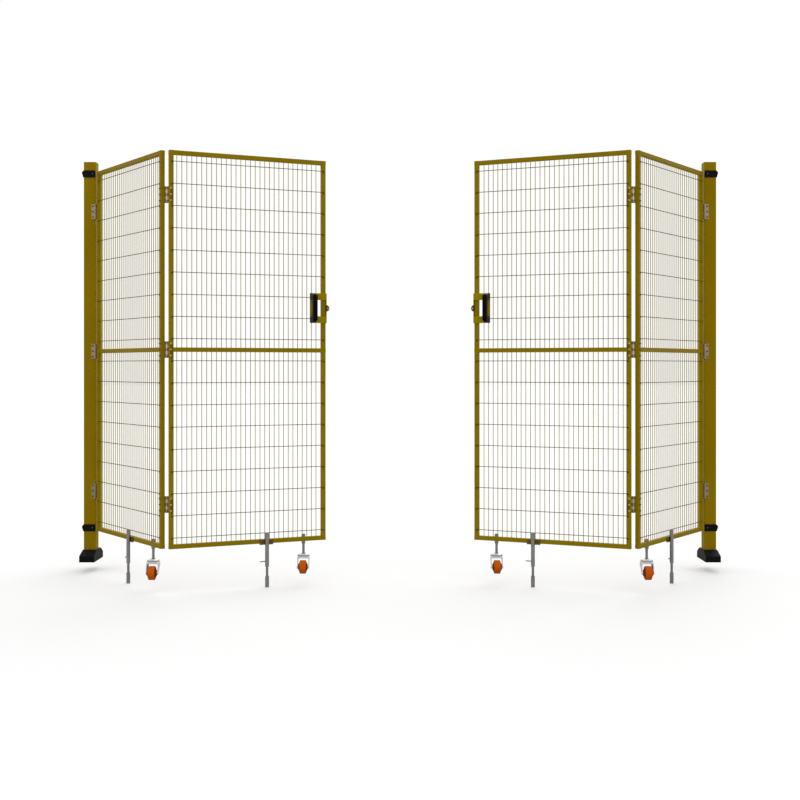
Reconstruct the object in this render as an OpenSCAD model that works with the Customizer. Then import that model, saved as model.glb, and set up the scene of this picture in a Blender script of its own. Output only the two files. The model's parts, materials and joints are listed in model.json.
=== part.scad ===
// Double bi-fold machine guard gate: two posts, each carrying a pair of wire mesh leaves that fold
// on hinges. Every leaf has a swivel caster and a drop bolt with a socket sunk in the floor.
// Origin: middle of the gateway at floor level, on the line through the two posts.
// X runs along the closed gate, Y runs through it away from the viewer, Z is up. Millimetres.

/* [Gate] */
// Gap left between the two closed halves
closed_gap = 20; // [20:0.5:22]
// Angle of the post leaves from the closed line
post_leaf_angle = 54; // [10:1:80]
// Angle of the lead leaves from flat with their post leaves
fold_angle = 78; // [10:1:150]

/* [Leaf] */
// Width of one leaf
leaf_w = 750; // [600:10:1000]
// Height of one leaf
leaf_h = 1800; // [1400:50:2200]
// Gap between the floor and a leaf
ground_gap = 150; // [140:1:170]
// Outside width of the square frame tube
tube = 20; // [18:1:25]
// Wall of the square frame tube
tube_wall = 1.5; // [1:0.1:2]
// Corner radius of the frame tube
tube_r = 2; // [1.6:0.1:2.4]

/* [Mesh] */
// Diameter of the mesh wire
wire_d = 3; // [2.5:0.1:4]
// Spacing of the upright wires
upright_pitch = 23; // [20:1:40]
// Spacing of the level wires
level_pitch = 100; // [75:5:150]
// Distance from the fold stile to the first upright wire
mesh_start = 14; // [8:1:24]
// Length of a level wire's end that laps on a stile
wire_lap = 8; // [4:0.5:8]
// Depth that the crossing wires sink into each other at their weld
weld_sink = 0.3; // [0.2:0.05:0.5]

/* [Post] */
// Outside width of the square post
post_w = 60; // [50:1:80]
// Rise of the post's top above the top of a leaf
post_rise = 50; // [30:5:200]
// Wall of the post tube
post_wall = 2; // [1.5:0.5:4]
// Corner radius of the post tube
post_r = 3; // [2:0.5:5]
// Width of the base plate, along the gate
plate_w = 69; // [66:1:90]
// Length of the base plate, across the gate
plate_l = 172; // [160:1:220]
// Thickness of the base plate
plate_t = 8; // [6:1:12]
// Diameter of an anchor hole
anchor_d = 12; // [10:1:14]
// Spacing of the two anchor holes
anchor_pitch = 130; // [110:1:140]

/* [Foot cover] */
// Height of the upright walls of the foot cover
cover_wall_h = 30; // [20:1:40]
// Overall height of the foot cover
cover_h = 55; // [45:1:80]
// Length of the flat top of the foot cover
cover_top_l = 90; // [80:1:120]
// Wall of the foot cover
cover_t = 2.5; // [2:0.5:4]

/* [Panel clamps] */
// Height of a panel clamp
clamp_h = 34; // [28:1:45]
// Thickness of a clamp's front plate
clamp_t = 4.5; // [3:0.5:7]
// Reach of a clamp's claw beyond the post
claw_reach = 8; // [5:1:14]
// Depth of a clamp's claw along the side of the post
claw_depth = 26; // [16:1:40]
// Drop of the upper clamps' middle below the top of a leaf
clamp_drop = 10; // [0:1:60]
// Rise of the lower clamps' middle above the bottom of a leaf
clamp_lift = 15; // [-30:1:100]

/* [Hinges] */
// Height of one hinge
hinge_h = 75; // [60:1:90]
// Reach of a wing on a post from the pin's axis
post_wing_w = 20; // [20:0.5:25.5]
// Reach of a wing on a leaf from the pin's axis
wing_w = 25.5; // [24.5:0.5:25.5]
// Thickness of a hinge wing
wing_t = 2.5; // [2:0.1:3]
// Radius of a hinge knuckle
knuckle_r = 5.5; // [5:0.1:5.6]
// Radius of a hinge pin
hinge_pin_r = 3; // [2.5:0.1:3.5]
// Distance from a pin's axis to the faces that the wings lie on
hinge_off = 6; // [6:0.1:6.4]
// Distance from a hinge pin's axis back to the post's inner face
post_inset = 1; // [0:0.1:1.5]
// Distance from a pin's axis to the row of screws
screw_row = 13; // [12.5:0.1:15]
// Spacing of the three screws in a wing
screw_pitch = 27.5; // [20:0.5:30]
// Depth of the first and last hinge's middle from the ends of the leaf
hinge_inset = 200; // [120:10:300]

/* [Screws] */
// Diameter of a screw's shank
screw_d = 5; // [4:0.5:5]
// Diameter of a screw's head
screw_head_d = 9; // [8:0.5:10]
// Length of thread and nut that stand out of the post leaf
nut_stand = 6; // [5:0.5:12]

/* [Drop bolts] */
// Outside diameter of a guide tube and of a floor socket
guide_d = 18; // [17:0.5:22]
// Bore of a guide tube and of a floor socket
guide_bore = 13; // [12.6:0.2:14]
// Diameter of a drop rod
rod_d = 12; // [10:0.5:12.2]
// Height of a guide tube's lower end above the floor
guide_low = 45; // [30:1:60]
// Height of a guide tube's upper end above the floor
guide_high = 202; // [190:1:240]
// Distance from a lead leaf's fold end to its drop bolt
lead_bolt_x = 455; // [300:5:560]
// Distance from a post leaf's fold end to its drop bolt
post_bolt_x = 332; // [220:5:600]
// Diameter of a rod's handle pin
grip_pin_d = 5.5; // [4:0.5:7]
// Reach of a rod's handle pin from the rod's axis
grip_pin_l = 34; // [25:1:45]
// Height of the handle pin while the rod's tip is just above the floor
grip_pin_z = 69; // [60:1:100]
// Travel of the rod down into its socket
drop_travel = 16; // [10:1:16]
// Travel of the rod up, clear of the floor
lift_travel = 60; // [30:1:60]
// Height of a rod's tip above its socket
tip_gap = 1; // [0.5:0.5:3]
// Depth of a floor socket
socket_depth = 50; // [30:1:80]
// Width of a guide's mounting plate
guide_plate_w = 65; // [55:1:80]
// Height of a guide's mounting plate
guide_plate_h = 25; // [22:1:30]
// Thickness of a guide's mounting plate
guide_plate_t = 4; // [3.4:0.2:6]

/* [Casters] */
// Diameter of a wheel
wheel_d = 63; // [55:1:63]
// Width of a tyre
tyre_w = 30; // [26:1:34]
// Thickness of a tyre
tyre_t = 5; // [4.5:0.5:8]
// Chamfer on a tyre's edges
tyre_chamfer = 2.5; // [1:0.5:3]
// Length of a wheel's hub
hub_l = 44; // [38:1:44]
// Diameter of a wheel's hub
hub_d = 28; // [24:1:32]
// Outside width of a fork
fork_w = 55; // [50.5:0.5:56]
// Sheet thickness of a fork
fork_t = 3; // [2.5:0.1:3]
// Depth of the lips folded down at the front and back of a fork's crown
fork_lip = 9; // [5:1:11]
// Distance that a wheel's axle trails behind its stem
caster_trail = 30; // [22:1:34]
// Height of a fork's crown above the floor
crown_z = 80; // [76:1:84]
// Diameter of a swivel head
head_d = 56; // [44:1:58]
// Height of a swivel head
head_h = 11; // [8:1:14]
// Diameter of a caster's threaded stem
stem_d = 12; // [10:1:12]
// Diameter of a wheel's axle
axle_d = 8; // [6:1:10]
// Distance from a lead leaf's fold end to its caster's stem
lead_caster_x = 642; // [600:1:650]
// Distance from a post leaf's fold end to its caster's stem
post_caster_x = 105; // [90:1:160]

/* [Lock and handle] */
// Height of the handle's middle above the floor
handle_z = 1250; // [1200:10:1400]
// Overall length of the handle and of the bracket behind it
handle_l = 141; // [130:1:170]
// Width of the handle
handle_w = 22; // [18:1:25]
// Height of the handle over the bracket
handle_h = 42; // [32:1:50]
// Thickness of the handle's feet under their screws
foot_t = 9; // [6:0.5:14]
// Thickness of the handle's grip
grip_t = 14; // [10:1:18]
// Spacing of the handle's two screws
handle_pitch = 120; // [112:1:125]
// Thickness of the bracket's front sheet
bracket_t = 3; // [2:0.5:4]
// Thickness of the bracket's edge plate
edge_t = 2.5; // [2:0.5:3]
// Width of the strip behind the handle
strip_w = 25; // [22:1:30]
// Distance from the leaf's outer edge to the strip's middle
strip_in = 69; // [55:1:90]
// Height of each arm of the bracket
arm_h = 32; // [24:1:36]
// Radius of the padlock lug
lug_r = 16; // [12:1:20]
// Reach of the padlock lug beyond the edge plate
lug_reach = 13.5; // [12.5:0.5:13.5]
// Thickness of the padlock lug
lug_t = 4; // [3:0.5:5]
// Diameter of the padlock hole
lug_hole_d = 5; // [4.5:0.5:7]
// Side gap between the two lugs when the gate is closed
lug_gap = 1; // [0.6:0.2:2]

/* [Hidden] */

$fn = 48;
// The two halves of the gate
LEFT = -1;
RIGHT = 1;
// Reach added to a cut so that it passes clean through a face
over = 1;
// Clearance of a screw in its hole
screw_clear = 0.15;
// Running clearance of a pin or shaft in its bore
run_clear = 0.05;
// Air between pieces that turn past each other
turn_gap = 0.3;
// Corner steps of a rounded tube section
corner_steps = 3;

leaf_bottom = ground_gap;
leaf_top = ground_gap + leaf_h;
rail_mid_z = ground_gap + leaf_h / 2;
post_h = leaf_top + post_rise;
clamp_heights = [leaf_top - clamp_drop, leaf_bottom + clamp_lift];
// The half chain of leaves from a post's pin to the middle of the closed gate
pin_half = closed_gap / 2 + 2 * leaf_w + 3 * hinge_off;
pin_y = -post_w / 2 - hinge_off;
post_x = pin_half - post_inset + post_w / 2;
hinge_heights = [leaf_top - hinge_inset, rail_mid_z, leaf_bottom + hinge_inset];
screw_offsets = [-screw_pitch, 0, screw_pitch];
bolt_y = -(guide_plate_t + guide_d / 2 - 0.5);
axle_z = wheel_d / 2;
head_top = crown_z + head_h;
stem_nut_w = stem_d * 1.4;
// A stem stands far enough back for its upper nut to clear the upright wires
stem_y = wire_d - weld_sink + turn_gap + stem_nut_w / 2;
// The lock bracket's front sheet stands clear of the level wires
sheet_y = -(wire_d + 0.2 + bracket_t);

// Points of a rectangle with rounded corners, centred on the origin
function rounded(w, h, r, steps = corner_steps) = [
    for (q = [0:3], i = [0:steps])
        let (a = 90 * q + 90 * i / steps,
             sx = (q == 0 || q == 3) ? 1 : -1,
             sy = (q < 2) ? 1 : -1)
        [sx * (w / 2 - r) + r * cos(a), sy * (h / 2 - r) + r * sin(a)]
];

// Placement

module on_half(side) {
    if (side == RIGHT) mirror([1, 0, 0]) children();
    else children();
}

// At a post's hinge pin, with X along the closed gate towards its middle
module at_post_pin(side) {
    on_half(side) translate([-pin_half, pin_y, 0]) children();
}

// At the pin of a post leaf, turned with the leaf
module at_turned_post_pin(side) {
    at_post_pin(side) rotate(-post_leaf_angle) children();
}

// At the fold pin, turned with the post leaf
module at_fold_pin(side) {
    at_turned_post_pin(side)
        translate([leaf_w + 2 * hinge_off, tube + 2 * hinge_off, 0]) children();
}

// At the fold pin, turned with the lead leaf
module at_turned_fold_pin(side) {
    at_fold_pin(side) rotate(fold_angle) children();
}

// A leaf's own frame: X from its fold end, Y from its front face to its back
module on_post_leaf(side) {
    at_fold_pin(side) translate([-hinge_off, -hinge_off - tube, 0])
        mirror([1, 0, 0]) children();
}

module on_lead_leaf(side) {
    at_turned_fold_pin(side) translate([hinge_off, -hinge_off - tube, 0]) children();
}

// Posts

module post() {
    color([0.55, 0.45, 0.03]) translate([-post_x, 0, 0]) difference() {
        union() {
            translate([0, 0, plate_t / 2])
                linear_extrude(post_h - plate_t / 2) polygon(rounded(post_w, post_w, post_r));
            translate([-plate_w / 2, -plate_l / 2, 0]) cube([plate_w, plate_l, plate_t]);
        }
        translate([0, 0, plate_t]) linear_extrude(post_h - plate_t - post_wall)
            polygon(rounded(post_w - 2 * post_wall, post_w - 2 * post_wall, post_r - post_wall / 2));
        for (y = [-1, 1] * anchor_pitch / 2)
            translate([0, y, -over]) cylinder(d = anchor_d, h = plate_t + 2 * over);
        for (z = clamp_heights)
            translate([post_w / 4, -post_w / 2 - over, z]) rotate([-90, 0, 0])
                cylinder(d = screw_d + 2 * screw_clear, h = post_wall + 2 * over);
        for (z = hinge_heights, dz = screw_offsets)
            translate([post_w / 2 - post_inset - screw_row, -post_w / 2 - over, z + dz])
                rotate([-90, 0, 0]) cylinder(d = screw_d + 2 * screw_clear, h = post_wall + 2 * over);
    }
}

// Side profile of the foot cover, drawn in by t from its outside
module cover_profile(t) {
    cover_l = plate_l + 2 * (cover_t + 1.5);
    slope = (cover_h - cover_wall_h) / ((cover_l - cover_top_l) / 2);
    fall = t * sqrt(1 + slope * slope);
    wall_top = cover_wall_h + slope * t - fall;
    top_half = cover_top_l / 2 + (t - fall) / slope;
    half = cover_l / 2 - t;
    polygon([[-half, t > 0 ? -over : 0], [half, t > 0 ? -over : 0], [half, wall_top],
             [top_half, cover_h - t], [-top_half, cover_h - t], [-half, wall_top]]);
}

// Front outline of the foot cover: its outer side leans in to the post
module cover_front(t) {
    half = plate_w / 2 + cover_t + 0.5 - t;
    top = post_w / 2 + 2 - t;
    low = t > 0 ? -over : 0;
    polygon([[-half, low], [half, low], [half, cover_h], [-top, cover_h], [-half, cover_wall_h]]);
}

module cover_solid(t) {
    intersection() {
        rotate([90, 0, 90]) linear_extrude(2 * plate_w, center = true) cover_profile(t);
        rotate([90, 0, 0]) linear_extrude(2 * plate_l, center = true) cover_front(t);
    }
}

module foot_cover() {
    color([0.08, 0.08, 0.08]) translate([-post_x, 0, 0]) difference() {
        cover_solid(0);
        cover_solid(cover_t);
        linear_extrude(cover_h + over) square(post_w + 2 * turn_gap, center = true);
    }
}

// One clamp, on a post's front face, with its claw on the post's outer side
module panel_clamp() {
    difference() {
        union() {
            translate([-post_w / 2, -post_w / 2 - clamp_t, -clamp_h / 2])
                cube([post_w, clamp_t, clamp_h]);
            translate([-post_w / 2, claw_depth - post_w / 2, 0]) rotate([90, 0, 0])
                linear_extrude(claw_depth + clamp_t)
                    polygon([[0, clamp_h / 2], [-claw_reach, clamp_h / 4], [-claw_reach, clamp_h / 12],
                             [-claw_reach / 4, -clamp_h / 2], [0, -clamp_h / 2]]);
        }
        translate([post_w / 4, -post_w / 2 + over, 0]) rotate([90, 0, 0])
            cylinder(d = screw_d + 2 * screw_clear, h = clamp_t + 2 * over);
    }
}

module panel_clamps() {
    color([0.07, 0.07, 0.07]) for (side = [LEFT, RIGHT], z = clamp_heights)
        on_half(side) translate([-post_x, 0, z]) panel_clamp();
}

module clamp_bolts() {
    color([0.12, 0.12, 0.12]) for (side = [LEFT, RIGHT], z = clamp_heights)
        on_half(side) translate([post_w / 4 - post_x, -post_w / 2 - clamp_t, z])
            rotate([-90, 0, 0]) round_screw(clamp_t + post_wall + over);
}

// Fasteners, along +Z from the face under the head, which is at Z = 0

module round_screw(length) {
    head_h = 3.5;
    dome_r = (pow(screw_head_d / 2, 2) + head_h * head_h) / (2 * head_h);
    rotate_extrude() polygon(concat(
        [[0, length], [screw_d / 2, length], [screw_d / 2, 0]],
        [for (i = [0:4]) let (a = asin(screw_head_d / 2 / dome_r) * (1 - i / 4))
            [dome_r * sin(a), dome_r - head_h - dome_r * cos(a)]]));
}

// A countersunk screw, with its flat head's top at Z = 0
module flat_screw(length) {
    sink = (screw_head_d - screw_d) / 2;
    rotate_extrude() polygon([[0, 0], [screw_head_d / 2, 0], [screw_d / 2, sink],
                              [screw_d / 2, length], [0, length]]);
}

module nut(across, height, bore) {
    difference() {
        cylinder(d = across / cos(30), h = height, $fn = 6);
        translate([0, 0, -over]) cylinder(d = bore, h = height + 2 * over);
    }
}

// Cut for a countersunk screw, from the face that its head lies flush with
module sunk_hole(length) {
    cylinder(d = screw_d + 2 * screw_clear, h = length);
    translate([0, 0, -0.01]) cylinder(d1 = screw_head_d + 2 * screw_clear, d2 = screw_d,
                                      h = (screw_head_d - screw_d) / 2 + screw_clear);
}

// Hinges. The pin's axis is at the origin and the wing runs along -X, on a seat at Y = hinge_off

// Cuts for the three countersunk screws of a wing
module wing_screw_cuts() {
    for (dz = screw_offsets)
        translate([-screw_row, hinge_off - wing_t, dz]) rotate([-90, 0, 0]) sunk_hole(wing_t + over);
}

// One wing of a hinge with five knuckles. The outer kind has three of them and the pin
module hinge_wing(outer, reach = wing_w) {
    pitch = (hinge_h + turn_gap) / 5;
    knuckle_h = pitch - turn_gap;
    edge = sqrt(pow(knuckle_r, 2) - pow(hinge_off - wing_t, 2)) + 0.5;
    difference() {
        union() {
            translate([-reach, hinge_off - wing_t, -hinge_h / 2]) cube([reach - edge, wing_t, hinge_h]);
            for (k = outer ? [-2, 0, 2] : [-1, 1]) translate([0, 0, k * pitch]) {
                translate([-edge - over, hinge_off - wing_t, -knuckle_h / 2])
                    cube([edge + over, knuckle_r - hinge_off + wing_t, knuckle_h]);
                cylinder(r = knuckle_r, h = knuckle_h, center = true);
            }
            if (outer) cylinder(r = hinge_pin_r, h = hinge_h, center = true);
        }
        if (!outer) cylinder(r = hinge_pin_r + run_clear, h = hinge_h, center = true);
        wing_screw_cuts();
    }
}

module post_hinges(side) {
    color([0.6, 0.6, 0.6]) for (z = hinge_heights)
        at_post_pin(side) translate([0, 0, z]) hinge_wing(true, post_wing_w);
}

// Wings on the ends of the post leaves, which go between the leaf and its post
module end_wings(side) {
    color([0.6, 0.6, 0.6]) for (z = hinge_heights)
        at_turned_post_pin(side) translate([0, 0, z]) rotate(-90) hinge_wing(false);
}

module post_fold_wings(side) {
    color([0.6, 0.6, 0.6]) for (z = hinge_heights)
        at_fold_pin(side) translate([0, 0, z]) mirror([0, 1, 0]) hinge_wing(true);
}

module lead_fold_wings(side) {
    color([0.6, 0.6, 0.6]) for (z = hinge_heights)
        at_turned_fold_pin(side) translate([0, 0, z]) rotate(180) hinge_wing(false);
}

module post_hinge_screws() {
    color([0.25, 0.25, 0.26])
        for (side = [LEFT, RIGHT], z = hinge_heights, dz = screw_offsets)
            at_post_pin(side) translate([-screw_row, hinge_off - wing_t, z + dz])
                rotate([-90, 0, 0]) flat_screw(wing_t + post_wall + over);
}

// Leaves, each in its own frame

module leaf_stile() {
    translate([tube / 2, tube / 2, leaf_bottom]) linear_extrude(leaf_h)
        polygon(rounded(tube, tube, tube_r));
}

module leaf_rail(z) {
    translate([0, tube / 2, z]) rotate([90, 0, 90]) linear_extrude(leaf_w)
        polygon(rounded(tube, tube, tube_r));
}

module leaf_hollow() {
    bore = tube - 2 * tube_wall;
    for (x = [tube_wall, leaf_w - tube + tube_wall])
        translate([x, tube_wall, leaf_bottom + tube_wall]) cube([bore, bore, leaf_h - 2 * tube_wall]);
    for (z = [leaf_bottom, rail_mid_z - tube / 2, leaf_top - tube])
        translate([tube_wall, tube_wall, z + tube_wall])
            cube([leaf_w - 2 * tube_wall, bore, bore]);
}

// Holes through a fold stile for the fold hinges' screws
module fold_screw_holes() {
    for (z = hinge_heights, dz = screw_offsets)
        translate([screw_row - hinge_off, -over, z + dz]) rotate([-90, 0, 0])
            cylinder(d = screw_d + 2 * screw_clear, h = tube + 2 * over);
}

// Holes for a drop bolt's guide plate and for a caster's stem
module rail_holes(bolt_x, stem_x) {
    for (dx = [-1, 1] * guide_screw_x())
        translate([bolt_x + dx, -over, guide_screw_z()]) rotate([-90, 0, 0])
            cylinder(d = screw_d + 2 * screw_clear, h = tube_wall + 2 * over);
    translate([stem_x, stem_y, leaf_bottom - over])
        cylinder(d = stem_d + 2 * screw_clear, h = tube + 2 * over);
}

function guide_screw_x() = guide_plate_w / 2 - 10;
function guide_screw_z() = leaf_bottom + tube / 2;

module leaf_frame() {
    union() {
        leaf_stile();
        translate([leaf_w - tube, 0, 0]) leaf_stile();
        for (z = [leaf_bottom + tube / 2, rail_mid_z, leaf_top - tube / 2]) leaf_rail(z);
    }
}

module post_leaf_frame() {
    color([0.52, 0.43, 0.03]) difference() {
        leaf_frame();
        leaf_hollow();
        fold_screw_holes();
        rail_holes(post_bolt_x, post_caster_x);
        for (z = hinge_heights, dz = screw_offsets)
            translate([leaf_w - tube_wall - over, screw_row - hinge_off, z + dz])
                rotate([0, 90, 0]) cylinder(d = screw_d + 2 * screw_clear, h = tube_wall + 2 * over);
    }
}

module lead_leaf_frame() {
    color([0.52, 0.43, 0.03]) difference() {
        leaf_frame();
        leaf_hollow();
        fold_screw_holes();
        rail_holes(lead_bolt_x, lead_caster_x);
        for (dz = [-1, 1] * arm_screw_z())
            translate([leaf_w - tube_wall - over, tube / 2, handle_z + dz]) rotate([0, 90, 0])
                cylinder(d = screw_d + 2 * screw_clear, h = tube_wall + 2 * over);
    }
}

function arm_screw_z() = (handle_l - arm_h) / 2;

// The welded wire mesh: level wires on the stiles' front faces, upright wires behind them
module leaf_mesh() {
    wire_r = wire_d / 2 / cos(22.5);
    windows = [[leaf_bottom + tube, rail_mid_z - tube / 2], [rail_mid_z + tube / 2, leaf_top - tube]];
    level_count = floor((leaf_h - level_pitch / 2) / level_pitch);
    upright_count = floor((leaf_w - 2 * tube - mesh_start) / upright_pitch) - 1;
    color([0.42, 0.36, 0.1]) for (w = windows) union() {
        for (i = [0:upright_count])
            translate([tube + mesh_start + i * upright_pitch, wire_d / 2 - weld_sink, w[0]])
                rotate(22.5) cylinder(r = wire_r, h = w[1] - w[0], $fn = 8);
        for (k = [0:level_count])
            let (z = leaf_top - level_pitch * (k + 0.5))
            if (z > w[0] && z < w[1])
                translate([tube - wire_lap, -wire_d / 2, z]) rotate([0, 90, 0]) rotate(22.5)
                    cylinder(r = wire_r, h = leaf_w - 2 * (tube - wire_lap), $fn = 8);
    }
}

// The plate that holds a drop bolt's guide on the bottom rail, with its two screws
module leaf_fixings(bolt_x) {
    translate([bolt_x, 0, 0]) difference() {
        translate([-guide_plate_w / 2, -guide_plate_t, leaf_bottom + tube - guide_plate_h])
            cube([guide_plate_w, guide_plate_t, guide_plate_h]);
        for (dx = [-1, 1] * guide_screw_x())
            translate([dx, -guide_plate_t - over, guide_screw_z()]) rotate([-90, 0, 0])
                cylinder(d = screw_d + 2 * screw_clear, h = guide_plate_t + 2 * over);
    }
    for (dx = [-1, 1] * guide_screw_x())
        translate([bolt_x + dx, -guide_plate_t, guide_screw_z()]) rotate([-90, 0, 0])
            round_screw(guide_plate_t + tube_wall + over);
}

module post_leaf_fixings() {
    nut_h = nut_stand / 2;
    color([0.55, 0.48, 0.2]) {
        leaf_fixings(post_bolt_x);
        for (z = hinge_heights, dz = screw_offsets) {
            translate([screw_row - hinge_off, tube + wing_t, z + dz]) rotate([90, 0, 0])
                flat_screw(wing_t + tube + nut_stand);
            translate([screw_row - hinge_off, -nut_h, z + dz]) rotate([-90, 0, 0])
                nut(screw_d * 1.6, nut_h, screw_d);
            translate([leaf_w + wing_t, screw_row - hinge_off, z + dz]) rotate([0, -90, 0])
                flat_screw(wing_t + tube_wall + over);
        }
    }
}

module lead_leaf_fixings() {
    color([0.55, 0.48, 0.2]) {
        leaf_fixings(lead_bolt_x);
        for (z = hinge_heights, dz = screw_offsets)
            translate([screw_row - hinge_off, 0, z + dz]) rotate([-90, 0, 0])
                round_screw(tube + wing_t);
        for (dz = [-1, 1] * arm_screw_z())
            translate([leaf_w + edge_t, tube / 2, handle_z + dz]) rotate([0, -90, 0])
                flat_screw(edge_t + tube_wall + over);
    }
}

// Drop bolts. A guide's back is flat, where it is welded to its plate.
// pin_side is the side of the leaf's own X that the handle pin points to

module bolt_guide(bolt_x, pin_side) {
    slot_w = grip_pin_d + 1;
    slot_low = grip_pin_z - drop_travel;
    slot_high = grip_pin_z + lift_travel;
    color([0.5, 0.5, 0.5]) translate([bolt_x, 0, 0]) difference() {
        translate([0, bolt_y, guide_low]) cylinder(d = guide_d, h = guide_high - guide_low);
        translate([-guide_d, -guide_plate_t, guide_low - over])
            cube([2 * guide_d, guide_d, guide_high - guide_low + 2 * over]);
        translate([0, bolt_y, guide_low - over])
            cylinder(d = guide_bore, h = guide_high - guide_low + 2 * over);
        translate([pin_side * guide_d / 2, bolt_y, (slot_low + slot_high) / 2])
            cube([guide_d, slot_w, slot_high - slot_low], center = true);
        for (z = [slot_low, slot_high])
            translate([0, bolt_y, z]) rotate([0, pin_side * 90, 0]) cylinder(d = slot_w, h = guide_d);
    }
}

module drop_rod(bolt_x, pin_side) {
    color([0.55, 0.55, 0.55]) translate([bolt_x, bolt_y, 0]) {
        translate([0, 0, tip_gap]) {
            cylinder(d1 = rod_d - 3, d2 = rod_d, h = 1.5);
            translate([0, 0, 1.5]) cylinder(d = rod_d, h = guide_high - 8 - tip_gap);
        }
        translate([0, 0, grip_pin_z]) rotate([0, pin_side * 90, 0]) cylinder(d = grip_pin_d, h = grip_pin_l);
    }
}

module floor_socket(bolt_x) {
    translate([bolt_x, bolt_y, -socket_depth]) difference() {
        cylinder(d = guide_d, h = socket_depth);
        translate([0, 0, 3]) cylinder(d = guide_bore, h = socket_depth);
    }
}

module floor_sockets() {
    color([0.5, 0.5, 0.5]) for (side = [LEFT, RIGHT]) {
        on_post_leaf(side) floor_socket(post_bolt_x);
        on_lead_leaf(side) floor_socket(lead_bolt_x);
    }
}

// Casters, each drawn about its stem with the wheel towards -Y and then placed under its leaf

module caster_stem(stem_x) {
    flange_z = crown_z - fork_t - 4;
    color([0.5, 0.5, 0.5]) translate([stem_x, stem_y, 0]) {
        translate([0, 0, flange_z]) cylinder(d = stem_d + 8, h = 4 - turn_gap);
        translate([0, 0, flange_z]) cylinder(d = stem_d, h = leaf_bottom + tube + 14 - flange_z);
        translate([0, 0, head_top + turn_gap]) cylinder(d = stem_d + 6, h = 3);
        translate([0, 0, leaf_bottom - 10]) cylinder(d = stem_nut_w / cos(30), h = 10, $fn = 6);
        translate([0, 0, leaf_bottom - 14]) cylinder(d1 = stem_d + 1, d2 = stem_nut_w, h = 4);
        translate([0, 0, leaf_bottom + tube]) cylinder(d = stem_nut_w / cos(30), h = 11, $fn = 6);
    }
}

// The stems stand on turned leaves, and every caster still trails straight to the front of the gate
module at_stem(side, lead) {
    turn = post_leaf_angle - (lead ? fold_angle : 0);
    if (lead) on_lead_leaf(side) translate([lead_caster_x, stem_y, 0]) rotate(turn) children();
    else on_post_leaf(side) translate([post_caster_x, stem_y, 0]) rotate(-turn) children();
}

// The fork is a sheet bent to a U over the wheel and cut to shape at its sides
module fork() {
    inner_w = fork_w - 2 * fork_t;
    bend_r = 6;
    back = head_d / 2 - 6;
    difference() {
        union() {
            intersection() {
                translate([0, head_d, 0]) rotate([90, 0, 0]) linear_extrude(3 * head_d) difference() {
                    translate([0, crown_z / 2]) polygon(rounded(fork_w, crown_z, bend_r));
                    translate([0, crown_z / 2 - fork_t])
                        polygon(rounded(inner_w, crown_z, bend_r - fork_t));
                }
                rotate([90, 0, 90]) linear_extrude(fork_w + 2 * over, center = true) {
                    polygon([[-head_d / 2, crown_z + over], [back, crown_z + over],
                             [back, crown_z - 2 * fork_lip], [-caster_trail + axle_d, axle_z - axle_d / 2],
                             [-caster_trail - axle_d, axle_z], [-head_d / 2, crown_z - fork_lip]]);
                    translate([-caster_trail, axle_z]) circle(r = axle_d);
                }
            }
            for (y = [-head_d / 2, back - fork_t])
                translate([-inner_w / 2 - 0.5, y, crown_z - fork_lip])
                    cube([inner_w + 1, fork_t, fork_lip - 1]);
            translate([0, 0, crown_z - 0.5]) cylinder(d = head_d, h = head_h / 2 + 0.5);
            translate([0, 0, crown_z + head_h / 2 - 0.5]) cylinder(d = head_d - 5, h = 1);
            translate([0, 0, crown_z + head_h / 2]) cylinder(d1 = head_d - 5, d2 = head_d * 0.6, h = head_h / 2);
        }
        cylinder(d = stem_d + 2 * run_clear, h = head_top + over);
        translate([-fork_w, -caster_trail, axle_z]) rotate([0, 90, 0])
            cylinder(d = axle_d + 2 * screw_clear, h = 2 * fork_w);
    }
}

module axle() {
    rivet_t = 1.5;
    translate([0, -caster_trail, axle_z]) rotate([0, 90, 0]) {
        cylinder(d = axle_d, h = fork_w, center = true);
        for (s = [-1, 1]) translate([0, 0, s * (fork_w + rivet_t) / 2])
            cylinder(d = axle_d + 5, h = rivet_t, center = true);
    }
}

module caster_fork() {
    color([0.86, 0.87, 0.88]) {
        fork();
        axle();
    }
}

module wheel_core() {
    rim_r = wheel_d / 2 - tyre_t;
    rim_x = tyre_w / 2 - 1;
    bore_r = axle_d / 2 + run_clear;
    color([0.12, 0.09, 0.08]) translate([0, -caster_trail, axle_z]) rotate([0, 90, 0])
        rotate_extrude() polygon([
            [bore_r, -hub_l / 2], [hub_d / 2 - 1, -hub_l / 2], [hub_d / 2, -hub_l / 2 + 1],
            [rim_r, -rim_x], [rim_r, rim_x],
            [hub_d / 2, hub_l / 2 - 1], [hub_d / 2 - 1, hub_l / 2], [bore_r, hub_l / 2]]);
}

module tyre() {
    rim_r = wheel_d / 2 - tyre_t;
    wheel_r = wheel_d / 2;
    color([0.71, 0.3, 0.02]) translate([0, -caster_trail, axle_z]) rotate([0, 90, 0])
        rotate_extrude() polygon([
            [rim_r, -tyre_w / 2 + 1], [rim_r + 1, -tyre_w / 2], [wheel_r - tyre_chamfer, -tyre_w / 2],
            [wheel_r, -tyre_w / 2 + tyre_chamfer], [wheel_r, tyre_w / 2 - tyre_chamfer],
            [wheel_r - tyre_chamfer, tyre_w / 2], [rim_r + 1, tyre_w / 2], [rim_r, tyre_w / 2 - 1]]);
}

// Lock bracket and handle, in the lead leaf's own frame

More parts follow.
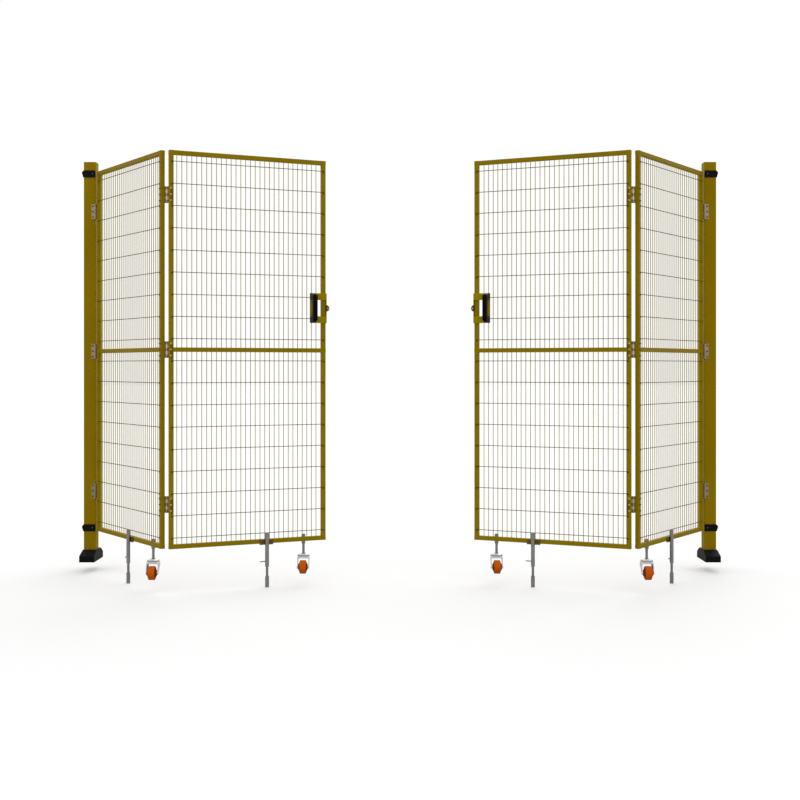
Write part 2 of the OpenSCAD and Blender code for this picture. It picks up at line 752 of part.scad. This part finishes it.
// The bracket's front sheet: a strip behind the handle and two arms to the leaf's outer edge
module lock_bracket(side) {
    strip_x = leaf_w - strip_in - strip_w / 2;
    window_h = handle_l - 2 * arm_h;
    window_x = strip_x + strip_w;
    lug_y = sheet_y + (side == LEFT ? 0 : lug_t + lug_gap);
    color([0.55, 0.46, 0.05]) difference() {
        union() {
            translate([strip_x, sheet_y, handle_z - handle_l / 2])
                cube([leaf_w + edge_t - strip_x, bracket_t, handle_l]);
            translate([leaf_w, sheet_y, handle_z - handle_l / 2])
                cube([edge_t, tube - sheet_y, handle_l]);
            translate([leaf_w + edge_t + lug_reach - lug_r, lug_y, handle_z]) rotate([-90, 0, 0])
                intersection() {
                    cylinder(r = lug_r, h = lug_t);
                    translate([lug_r - lug_reach - edge_t, -lug_r, 0])
                        cube([lug_r + edge_t, 2 * lug_r, lug_t]);
                }
        }
        translate([window_x, sheet_y - over, handle_z - window_h / 2])
            cube([leaf_w - window_x, bracket_t + 2 * over, window_h]);
        translate([leaf_w + closed_gap / 2, lug_y - over, handle_z]) rotate([-90, 0, 0])
            cylinder(d = lug_hole_d, h = lug_t + 2 * over);
        for (dz = [-1, 1] * handle_pitch / 2)
            translate([leaf_w - strip_in, sheet_y - over, handle_z + dz]) rotate([-90, 0, 0])
                cylinder(d = screw_d + 2 * screw_clear, h = bracket_t + 2 * over);
        for (dz = [-1, 1] * arm_screw_z())
            translate([leaf_w + edge_t, tube / 2, handle_z + dz]) rotate([0, -90, 0]) sunk_hole(edge_t + over);
    }
}

// Half of the handle's side outline, from the middle of the grip to the end of the foot
function handle_half() =
    let (foot = handle_l / 2, leg = handle_pitch / 2 - 17)
    [[0, handle_h], [foot - 18, handle_h], [foot - 13, handle_h - 1.5], [foot - 9, handle_h - 6],
     [foot - 2, foot_t], [foot, foot_t - 4], [foot, 0], [leg, 0], [leg - 4, handle_h - grip_t - 4],
     [leg - 9, handle_h - grip_t], [0, handle_h - grip_t]];

module pull_handle() {
    half = handle_half();
    last = len(half) - 1;
    color([0.06, 0.06, 0.06]) translate([leaf_w - strip_in, sheet_y, handle_z]) difference() {
        rotate([0, -90, 180]) linear_extrude(handle_w, center = true)
            polygon(concat(half, [for (i = [last:-1:0]) [-half[i][0], half[i][1]]]));
        for (dz = [-1, 1] * handle_pitch / 2)
            translate([0, -handle_h - over, dz]) rotate([-90, 0, 0]) {
                cylinder(d = screw_d + 2 * screw_clear, h = handle_h + 2 * over);
                cylinder(d = screw_head_d + 1, h = handle_h + over - foot_t);
            }
    }
}

module handle_screws() {
    color([0.3, 0.3, 0.3]) for (dz = [-1, 1] * handle_pitch / 2)
        translate([leaf_w - strip_in, sheet_y - foot_t, handle_z + dz]) rotate([-90, 0, 0])
            round_screw(foot_t + bracket_t);
}

on_half(LEFT) post();  // post_left
on_half(RIGHT) post();  // post_right
on_half(LEFT) foot_cover();  // foot_cover_left
on_half(RIGHT) foot_cover();  // foot_cover_right
panel_clamps();
clamp_bolts();
post_hinges(LEFT);  // post_hinges_left
post_hinges(RIGHT);  // post_hinges_right
post_hinge_screws();
floor_sockets();

on_post_leaf(LEFT) post_leaf_frame();  // post_leaf_frame_left
on_post_leaf(LEFT) leaf_mesh();  // post_leaf_mesh_left
end_wings(LEFT);  // post_leaf_end_wings_left
post_fold_wings(LEFT);  // post_leaf_fold_wings_left
on_post_leaf(LEFT) post_leaf_fixings();  // post_leaf_fixings_left
on_post_leaf(LEFT) bolt_guide(post_bolt_x, 1);  // post_leaf_bolt_guide_left
on_post_leaf(LEFT) caster_stem(post_caster_x);  // post_leaf_caster_stem_left
on_lead_leaf(LEFT) lead_leaf_frame();  // lead_leaf_frame_left
on_lead_leaf(LEFT) leaf_mesh();  // lead_leaf_mesh_left
lead_fold_wings(LEFT);  // lead_leaf_fold_wings_left
on_lead_leaf(LEFT) lead_leaf_fixings();  // lead_leaf_fixings_left
on_lead_leaf(LEFT) bolt_guide(lead_bolt_x, -1);  // lead_leaf_bolt_guide_left
on_lead_leaf(LEFT) caster_stem(lead_caster_x);  // lead_leaf_caster_stem_left
on_lead_leaf(LEFT) lock_bracket(LEFT);  // lock_bracket_left
on_lead_leaf(LEFT) pull_handle();  // pull_handle_left
on_lead_leaf(LEFT) handle_screws();  // handle_screws_left
on_post_leaf(LEFT) drop_rod(post_bolt_x, 1);  // post_leaf_drop_rod_left
on_lead_leaf(LEFT) drop_rod(lead_bolt_x, -1);  // lead_leaf_drop_rod_left
at_stem(LEFT, false) caster_fork();  // post_leaf_fork_left
at_stem(LEFT, true) caster_fork();  // lead_leaf_fork_left
at_stem(LEFT, false) wheel_core();  // post_leaf_wheel_core_left
at_stem(LEFT, false) tyre();  // post_leaf_tyre_left
at_stem(LEFT, true) wheel_core();  // lead_leaf_wheel_core_left
at_stem(LEFT, true) tyre();  // lead_leaf_tyre_left

on_post_leaf(RIGHT) post_leaf_frame();  // post_leaf_frame_right
on_post_leaf(RIGHT) leaf_mesh();  // post_leaf_mesh_right
end_wings(RIGHT);  // post_leaf_end_wings_right
post_fold_wings(RIGHT);  // post_leaf_fold_wings_right
on_post_leaf(RIGHT) post_leaf_fixings();  // post_leaf_fixings_right
on_post_leaf(RIGHT) bolt_guide(post_bolt_x, -1);  // post_leaf_bolt_guide_right
on_post_leaf(RIGHT) caster_stem(post_caster_x);  // post_leaf_caster_stem_right
on_lead_leaf(RIGHT) lead_leaf_frame();  // lead_leaf_frame_right
on_lead_leaf(RIGHT) leaf_mesh();  // lead_leaf_mesh_right
lead_fold_wings(RIGHT);  // lead_leaf_fold_wings_right
on_lead_leaf(RIGHT) lead_leaf_fixings();  // lead_leaf_fixings_right
on_lead_leaf(RIGHT) bolt_guide(lead_bolt_x, 1);  // lead_leaf_bolt_guide_right
on_lead_leaf(RIGHT) caster_stem(lead_caster_x);  // lead_leaf_caster_stem_right
on_lead_leaf(RIGHT) lock_bracket(RIGHT);  // lock_bracket_right
on_lead_leaf(RIGHT) pull_handle();  // pull_handle_right
on_lead_leaf(RIGHT) handle_screws();  // handle_screws_right
on_post_leaf(RIGHT) drop_rod(post_bolt_x, -1);  // post_leaf_drop_rod_right
on_lead_leaf(RIGHT) drop_rod(lead_bolt_x, 1);  // lead_leaf_drop_rod_right
at_stem(RIGHT, false) caster_fork();  // post_leaf_fork_right
at_stem(RIGHT, true) caster_fork();  // lead_leaf_fork_right
at_stem(RIGHT, false) wheel_core();  // post_leaf_wheel_core_right
at_stem(RIGHT, false) tyre();  // post_leaf_tyre_right
at_stem(RIGHT, true) wheel_core();  // lead_leaf_wheel_core_right
at_stem(RIGHT, true) tyre();  // lead_leaf_tyre_right
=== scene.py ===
"""Double bi-fold machine guard gate, dressed and lit. Metres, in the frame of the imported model."""
import json
from math import cos, radians, sin

import bmesh
import bpy
from mathutils import Matrix, Vector


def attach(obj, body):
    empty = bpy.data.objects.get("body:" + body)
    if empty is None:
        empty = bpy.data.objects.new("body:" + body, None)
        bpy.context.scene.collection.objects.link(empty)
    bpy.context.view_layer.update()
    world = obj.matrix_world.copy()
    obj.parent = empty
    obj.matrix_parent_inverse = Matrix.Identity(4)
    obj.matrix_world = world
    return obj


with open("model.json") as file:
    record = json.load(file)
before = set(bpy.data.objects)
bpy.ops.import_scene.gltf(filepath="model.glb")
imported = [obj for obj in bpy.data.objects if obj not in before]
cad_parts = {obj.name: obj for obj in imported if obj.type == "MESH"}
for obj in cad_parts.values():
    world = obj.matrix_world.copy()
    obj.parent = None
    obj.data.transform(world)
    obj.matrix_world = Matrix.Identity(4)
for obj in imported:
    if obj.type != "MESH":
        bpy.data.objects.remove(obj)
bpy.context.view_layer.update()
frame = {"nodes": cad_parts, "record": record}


def linear(hex_code):
    """A colour written as sRGB hex, as the linear RGBA that Blender's sockets take."""
    values = [int(hex_code[i:i + 2], 16) / 255 for i in (1, 3, 5)]
    return [v / 12.92 if v <= 0.04045 else ((v + 0.055) / 1.055) ** 2.4 for v in values] + [1.0]


def add(tree, kind, links=None, stops=(), **settings):
    """Adds a node. Settings that name a socket set it, others set a property. Links feed its sockets,
    from another node or with a plain value. Stops are the (position, hex) pairs of a colour ramp."""
    node = tree.nodes.new(kind)
    for i, (position, hex_code) in enumerate(stops):
        element = node.color_ramp.elements[i] if i < 2 else node.color_ramp.elements.new(position)
        element.position = position
        element.color = linear(hex_code)
    for name, value in settings.items():
        socket = node.inputs.get(name.replace("_", " "))
        if socket is not None:
            socket.default_value = value
        else:
            setattr(node, name, value)
    for name, source in (links or {}).items():
        if isinstance(source, bpy.types.NodeSocket):
            tree.links.new(source, node.inputs[name])
        else:
            node.inputs[name].default_value = source
    return node


def surface(name, gloss=0.5, tint="#FFFFFF"):
    """A new material, with its tree and its Principled shader."""
    material = bpy.data.materials.new(name)
    material.use_nodes = True
    tree = material.node_tree
    shader = tree.nodes["Principled BSDF"]
    shader.inputs["Specular IOR Level"].default_value = gloss
    shader.inputs["Specular Tint"].default_value = linear(tint)
    return material, tree, shader


def dress(tree, shader, shade, sheen, bump):
    """Gives a shader its colour, its roughness and its relief, each from a node."""
    tree.links.new(shade.outputs["Color"], shader.inputs["Base Color"])
    tree.links.new(sheen.outputs["Result"], shader.inputs["Roughness"])
    tree.links.new(bump.outputs["Normal"], shader.inputs["Normal"])


def powder_coat(name, base, pale, peel=0.0016):
    """Baked powder coat: even colour, with the shallow orange peel that a sprayed powder leaves.
    Real peel is about 1 mm across; on tube and plate it is drawn up to twice as coarse, to show."""
    material, tree, shader = surface(name, gloss=0.04, tint="#C8A200")
    place = add(tree, "ShaderNodeTexCoord").outputs["Object"]
    drift = add(tree, "ShaderNodeTexNoise", {"Vector": place}, Scale=4.0, Detail=3.0)
    shade = add(tree, "ShaderNodeValToRGB", {"Fac": drift.outputs["Fac"]}, [(0.35, base), (0.7, pale)])
    grain = add(tree, "ShaderNodeTexNoise", {"Vector": place}, Scale=1 / peel, Detail=2.0)
    sheen = add(tree, "ShaderNodeMapRange", {"Value": grain.outputs["Fac"]}, To_Min=0.34, To_Max=0.46)
    bump = add(tree, "ShaderNodeBump", {"Height": grain.outputs["Fac"]}, Strength=0.12, Distance=peel / 8)
    dress(tree, shader, shade, sheen, bump)
    return material


def moulded_plastic(name, base, pale, grain=0.0012, rough=(0.42, 0.55), gloss=0.1):
    """Moulded plastic: a fine spark-eroded grain that breaks up the highlight.
    The real grain is about 0.3 mm; it is drawn three to seven times coarser, so that it shows."""
    material, tree, shader = surface(name, gloss)
    place = add(tree, "ShaderNodeTexCoord").outputs["Object"]
    drift = add(tree, "ShaderNodeTexNoise", {"Vector": place}, Scale=25.0, Detail=4.0)
    shade = add(tree, "ShaderNodeValToRGB", {"Fac": drift.outputs["Fac"]}, [(0.3, base), (0.75, pale)])
    sheen = add(tree, "ShaderNodeMapRange", {"Value": drift.outputs["Fac"]},
                To_Min=rough[0], To_Max=rough[1])
    cells = add(tree, "ShaderNodeTexVoronoi", {"Vector": place}, Scale=1 / grain)
    bump = add(tree, "ShaderNodeBump", {"Height": cells.outputs["Distance"]},
               Strength=0.25, Distance=grain / 10)
    dress(tree, shader, shade, sheen, bump)
    return material


def plated_steel(name, base, pale, along, metal=0.85, rough=(0.3, 0.45), streak=0.0011):
    """Plated steel: faint drawn streaks under the plating, which run along one axis.
    Real streaks are about 0.2 mm wide; they are drawn some five times wider, so that they show."""
    material, tree, shader = surface(name)
    place = add(tree, "ShaderNodeTexCoord").outputs["Object"]
    shader.inputs["Metallic"].default_value = metal
    cloud = add(tree, "ShaderNodeTexNoise", {"Vector": place}, Scale=45.0, Detail=3.0)
    shade = add(tree, "ShaderNodeValToRGB", {"Fac": cloud.outputs["Fac"]}, [(0.3, base), (0.7, pale)])
    squeeze = [0.06 if axis == along else 1.0 for axis in "XYZ"]
    stretched = add(tree, "ShaderNodeMapping", {"Vector": place}, Scale=squeeze)
    streaks = add(tree, "ShaderNodeTexNoise", {"Vector": stretched.outputs["Vector"]},
                  Scale=1 / streak, Detail=3.0)
    sheen = add(tree, "ShaderNodeMapRange", {"Value": streaks.outputs["Fac"]},
                To_Min=rough[0], To_Max=rough[1])
    bump = add(tree, "ShaderNodeBump", {"Height": streaks.outputs["Fac"]},
               Strength=0.15, Distance=streak / 10)
    dress(tree, shader, shade, sheen, bump)
    return material


def repaint(material, hex_code, middle, reach, pitch=8.0):
    """Gives a material another base colour in an ellipsoid, which is repeated at a pitch in height.
    The middle is in the sizes of X, Y and Z, so that one place serves the left and the right half.
    An axis whose reach is None isn't measured. The default pitch is so tall that nothing repeats."""
    tree = material.node_tree
    sizes = add(tree, "ShaderNodeVectorMath", {0: tree.nodes["Texture Coordinate"].outputs["Object"]},
                operation="ABSOLUTE")
    away = add(tree, "ShaderNodeVectorMath", {0: sizes.outputs[0], 1: middle}, operation="SUBTRACT")
    axes = add(tree, "ShaderNodeSeparateXYZ", {0: away.outputs[0]})
    height = add(tree, "ShaderNodeMath", {0: axes.outputs["Z"], 1: pitch / 2}, operation="PINGPONG")
    spot = add(tree, "ShaderNodeCombineXYZ",
               {"X": axes.outputs["X"], "Y": axes.outputs["Y"], "Z": height.outputs[0]})
    weights = [0 if r is None else 1 / r for r in reach]
    share = add(tree, "ShaderNodeVectorMath", {0: spot.outputs[0], 1: weights}, operation="MULTIPLY")
    length = add(tree, "ShaderNodeVectorMath", {0: share.outputs[0]}, operation="LENGTH")
    inside = add(tree, "ShaderNodeMath", {0: length.outputs["Value"], 1: 1.0}, operation="LESS_THAN")
    colour = tree.nodes["Principled BSDF"].inputs["Base Color"]
    mix = add(tree, "ShaderNodeMixRGB", {"Fac": inside.outputs[0], "Color1": colour.links[0].from_socket},
              Color2=linear(hex_code))
    tree.links.new(mix.outputs["Color"], colour)


def put(name, data):
    """A new object at the origin."""
    thing = bpy.data.objects.new(name, data)
    bpy.context.scene.collection.objects.link(thing)
    return thing


def put_mesh(name, shape, material):
    """A new object at the origin from a bmesh, with its material."""
    data = bpy.data.meshes.new(name)
    shape.to_mesh(data)
    shape.free()
    data.materials.append(material)
    return put(name, data)


# A fold hinge's pin in plan, as the sizes of X and Y
FOLD_PIN = (1.054219, 0.633662)
# Height of a leaf's lowest hinge, and the step from one hinge to the next
LOW_HINGE = 0.350
HINGE_PITCH = 0.700
# Step from one level wire to the next
LEVEL_PITCH = 0.100

# Olive yellow powder coat on the leaves' square tube: satin and even
frame_coat = powder_coat("powder coat on square tube", "#917804", "#987E09")
# Painted shadow: the coat is coloured darker around and below the lead leaf's fold hinge nuts, where the
# nuts' shadows fall
repaint(frame_coat, "#6A580A", middle=(1.0286, 0.6507, LOW_HINGE - 0.007),
        reach=(0.0065, 0.0065, 0.040), pitch=HINGE_PITCH)

# The same powder coat on the posts, with a coarser peel
post_coat = powder_coat("powder coat on post", "#937902", "#9A7F05", peel=0.0022)

# The same powder coat on drawn wire, in the pale shade that the upright wires keep
wire_coat = powder_coat("powder coat on welded wire", "#A8960A", "#B2A00E", peel=0.0008)
# Painted shade: the level wires, whose middles are whole steps above the floor, are coloured darker than
# the upright ones
repaint(wire_coat, "#6A5A08", middle=(0, 0, 0), reach=(None, None, 0.0016), pitch=LEVEL_PITCH)

# Powder coat on the laser-cut lock bracket
bracket_coat = powder_coat("powder coat on cut plate", "#9E8806", "#A6900A", peel=0.0014)
# Painted shade: the padlock lug is coloured darker than the rest of the bracket
repaint(bracket_coat, "#5C520A", middle=(0.3432, 0.3474, 1.250), reach=[0.0175] * 3)

# Black polypropylene foot cover: deep, dull and grained
cover_plastic = moulded_plastic("moulded polypropylene", "#080808", "#0E0E0D", grain=0.0016)

# Black glass-filled nylon of the panel clamps
clamp_plastic = moulded_plastic("glass-filled nylon", "#070707", "#0C0C0C")

# Black nylon of the pull handles, a little smoother because hands rub it
handle_plastic = moulded_plastic("moulded nylon grip", "#030303", "#070707", grain=0.0010,
                                 rough=(0.36, 0.5), gloss=0.06)

# Zinc plated hinge wings, pressed from strip that was drawn along its length: a warm grey
hinge_zinc = plated_steel("zinc plated strip", "#988C72", "#A4987E", along="Z")
# Painted highlight: the second and fourth knuckles of each fold hinge are coloured bright, as glints
for knuckle in (-0.015, 0.015):
    repaint(hinge_zinc, "#D4C4A2", middle=(*FOLD_PIN, LOW_HINGE + knuckle),
            reach=(0.015, 0.015, 0.009), pitch=HINGE_PITCH)

# Screws and nuts in dull zinc
screw_zinc = plated_steel("dull zinc screws", "#48464A", "#545256", along="Y", metal=0.8)

# Yellow-passivated zinc of the nuts and screws on the leaves: pale gold and satin
yellow_zinc = plated_steel("yellow zinc", "#C0AC70", "#D4C084", along="Y", metal=0.6, rough=(0.34, 0.46))
# The guide plates at the foot of the leaves share its slot; everything in it below 0.2 m is coloured
# olive drab
repaint(yellow_zinc, "#6E5C14", middle=(0, 0, 0.1), reach=(None, None, 0.1))
# Painted shade: the nuts on the post leaves' fold stiles are coloured dark, as seen side-on in shade
repaint(yellow_zinc, "#5C5438", middle=(1.0853, 0.6402, LOW_HINGE),
        reach=(0.012, 0.012, 0.050), pitch=HINGE_PITCH)

# Bright turned steel of the drop rods and caster stems
turned_steel = plated_steel("turned steel bar", "#8E8E90", "#A0A0A2", along="Z", rough=(0.22, 0.36))

# Zinc plated tube of the bolt guides
guide_zinc = plated_steel("zinc plated tube", "#949294", "#A2A0A2", along="Z")

# The same tube in the floor, duller
socket_zinc = plated_steel("zinc tube in the floor", "#8E8C8E", "#9A989A", along="Z", rough=(0.4, 0.55))

# Bright zinc on the pressed caster forks: near white, and only partly metallic to the eye
fork_zinc = plated_steel("bright zinc pressing", "#E8E9EB", "#F2F3F4", along="Z", metal=0.35,
                         rough=(0.28, 0.4))
# A band round the swivel's race above the fork's crown is coloured grey
repaint(fork_zinc, "#B0B2B4", middle=(0, 0, 0.0835), reach=(None, None, 0.0035))
# Painted shade: inside the outer cheek of each post leaf's fork, above the tyre, the zinc is coloured
# near black
repaint(fork_zinc, "#161412", middle=(1.1558, 0.5554, 0.055), reach=(0.0015, 0.030, 0.013))

# Red-brown nylon of the wheel cores
core_nylon = moulded_plastic("nylon wheel core", "#5C2408", "#6C2E0E", rough=(0.35, 0.5))

# Cast orange polyurethane of the tyres: matt, with a fine bloom
tyre_urethane = moulded_plastic("cast polyurethane", "#CE5600", "#D86000", grain=0.0020,
                                rough=(0.45, 0.6), gloss=0.05)

# Painted shadow: dark powder coat on the weld domes under the level wires' ends, where the wires' shadows
# fall
weld_shadow_coat = powder_coat("painted shadow on spot welds", "#3E3206", "#4A3C08", peel=0.0008)

FINISHES = {
    "frame_paint": frame_coat,
    "post_paint": post_coat,
    "mesh_paint": wire_coat,
    "bracket_paint": bracket_coat,
    "black_cover": cover_plastic,
    "black_clamp": clamp_plastic,
    "black_handle": handle_plastic,
    "hinge_zinc": hinge_zinc,
    "screw_steel": screw_zinc,
    "yellow_zinc": yellow_zinc,
    "bolt_steel": turned_steel,
    "guide_steel": guide_zinc,
    "socket_steel": socket_zinc,
    "fork_steel": fork_zinc,
    "wheel_core": core_nylon,
    "tyre": tyre_urethane,
}
for part in frame["record"]["subparts"]:
    coats = frame["nodes"][part["node"]].data.materials
    coats.clear()
    coats.append(FINISHES[part["material_slot"]])

# From a fold pin to the near edge of its leaf, along the leaf, and to the leaf's front face, across it
PIN_TO_LEAF = 0.006
PIN_TO_FRONT = 0.026
# From that edge to the two ends of a level wire
FOLD_END = 0.012
FREE_END = 0.738
# The level wires, from the top one down
WIRE_RADIUS = 0.0015
TOP_WIRE = 1.900
LEVEL_WIRES = 18
WIRE_HEIGHTS = [TOP_WIRE - LEVEL_PITCH * k for k in range(LEVEL_WIRES)]
# A bead's half sizes along, across and up its leaf, and how far its middle lies below its wire's
BEAD = (0.0034, 0.0020, 0.0040)
BEAD_SAG = 0.0025
# The leaves' angles in plan
LEAD_TURN = 24
POST_TURN = -54


def spot_welds_and_shadows(body, turn, along, side, wire_ends):
    """Spot welds of one leaf: a small dome under each end of a level wire, coloured dark as a painted
    shadow.
    Along is 1 for a leaf that runs from its fold towards +X in the left half, and side is -1 in the right
    half.
    There are 108 domes in all, so each has only 40 faces."""
    run = Vector((along * cos(radians(turn)), along * sin(radians(turn)), 0))
    back = Vector((-sin(radians(turn)), cos(radians(turn)), 0))
    corner = PIN_TO_LEAF * run - PIN_TO_FRONT * back - Vector((*FOLD_PIN, 0))
    beads = bmesh.new()
    for reach in wire_ends:
        spot = corner + reach * run - WIRE_RADIUS * back
        for up in WIRE_HEIGHTS:
            place = (Matrix.Translation((side * spot.x, spot.y, up - BEAD_SAG))
                     @ Matrix.Rotation(side * radians(turn), 4, "Z") @ Matrix.Diagonal((*BEAD, 1)))
            bmesh.ops.create_uvsphere(beads, u_segments=8, v_segments=5, radius=1, matrix=place)
    for face in beads.faces:
        face.smooth = True
    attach(put_mesh("spot_welds_and_shadows_" + body, beads, weld_shadow_coat), body)


# The photograph shows no domes on the stile beside the post, so the post leaf has them at its fold alone
for hand, side in (("left", 1), ("right", -1)):
    spot_welds_and_shadows("lead_leaf_" + hand, LEAD_TURN, 1, side, (FOLD_END, FREE_END))
    spot_welds_and_shadows("post_leaf_" + hand, POST_TURN, -1, side, (FOLD_END,))

# Studio: a pale floor, a white surround that fills the shadows, and one broad soft lamp
# The floor lies at the foot of the sockets, as in the photograph
FLOOR_Z = -0.051
FLOOR_REACH = 60
GLOW = 0.15
# The camera sees a white floor that glows a little, and the gate gets the weaker bounce of a grey one
studio_floor, floor_tree, floor_shader = surface("painted studio floor", gloss=0.1)
floor_shader.inputs["Base Color"].default_value = linear("#E6E6E6")
floor_shader.inputs["Roughness"].default_value = 0.9
floor_shader.inputs["Emission Color"].default_value = (1, 1, 1, 1)
floor_shader.inputs["Emission Strength"].default_value = GLOW
bounce = add(floor_tree, "ShaderNodeBsdfDiffuse", Color=linear("#A8A8A8"))
floor_ray = add(floor_tree, "ShaderNodeLightPath").outputs["Is Camera Ray"]
choose = add(floor_tree, "ShaderNodeMixShader",
             {"Fac": floor_ray, 1: bounce.outputs[0], 2: floor_shader.outputs[0]})
floor_tree.links.new(choose.outputs[0], floor_tree.nodes["Material Output"].inputs["Surface"])
plane = bmesh.new()
bmesh.ops.create_grid(plane, x_segments=1, y_segments=1, size=FLOOR_REACH,
                      matrix=Matrix.Translation((0, 0, FLOOR_Z)))
put_mesh("studio_floor", plane, studio_floor)

# The camera and the metal's reflections see a pure white surround, and the gate gets a little less of it
FILL = 0.95
world = bpy.data.worlds.new("white surround")
bpy.context.scene.world = world
world.use_nodes = True
sky = world.node_tree
background = sky.nodes["Background"]
background.inputs["Color"].default_value = (1, 1, 1, 1)
ray = add(sky, "ShaderNodeLightPath").outputs
seen = add(sky, "ShaderNodeMath", {0: ray["Is Camera Ray"], 1: ray["Is Glossy Ray"]}, operation="MAXIMUM")
level = add(sky, "ShaderNodeMapRange", {"Value": seen.outputs[0]}, To_Min=FILL, To_Max=1.0)
sky.links.new(level.outputs["Result"], background.inputs["Strength"])

# The lamp stands high behind the gate, a little to the right, so soft shadows fall towards the camera
lamp_data = bpy.data.lights.new("key_lamp", "SUN")
lamp_data.energy = 0.8
lamp_data.angle = radians(50)
lamp = put("key_lamp", lamp_data)
lamp.rotation_euler = (radians(48), 0, radians(160))

# The camera looks level at the middle of the gate, as in the photograph
camera_data = bpy.data.cameras.new("camera")
camera_data.sensor_width = 36
camera_data.lens = 54.46
camera_data.shift_y = -0.0417
camera = put("camera", camera_data)
camera.location = (0, -6.1029, 0.973)
camera.rotation_euler = (radians(90), 0, 0)
bpy.context.scene.camera = camera
bpy.context.scene.view_settings.view_transform = "Standard"
